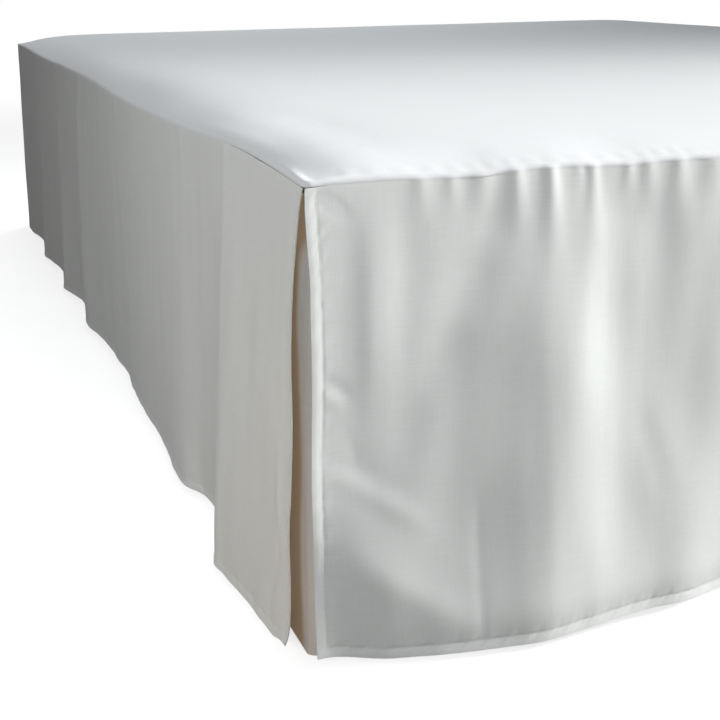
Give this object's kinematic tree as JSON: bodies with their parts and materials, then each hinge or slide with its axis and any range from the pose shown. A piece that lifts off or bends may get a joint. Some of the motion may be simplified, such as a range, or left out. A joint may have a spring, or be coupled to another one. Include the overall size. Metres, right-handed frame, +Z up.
{
  "type": "bed skirt on a bed base",
  "caption": "Tailored split-corner bed skirt: a deck cloth with straight hanging panels and corner inserts, over a plain bed base on round legs.",
  "frame": {"origin": "on the floor, under the middle of the bounding box", "axes": "+X across the bed, +Y along the bed towards its open head end, +Z up; the foot panel faces -Y"},
  "size_m": [1.6003, 2.0759, 0.4248],
  "materials": {
    "white_cotton": "matt plain weave, off-white",
    "ticking": "matt pale grey cover",
    "beech": "satin"
  },
  "bodies": {
    "root": {"bed_base": "ticking", "leg_1": "beech", "leg_2": "beech", "leg_3": "beech", "leg_4": "beech", "leg_5": "beech", "leg_6": "beech", "deck": "white_cotton", "panel_left": "white_cotton", "panel_right": "white_cotton", "panel_foot": "white_cotton", "insert_left": "white_cotton", "insert_right": "white_cotton"}
  },
  "joints": []
}
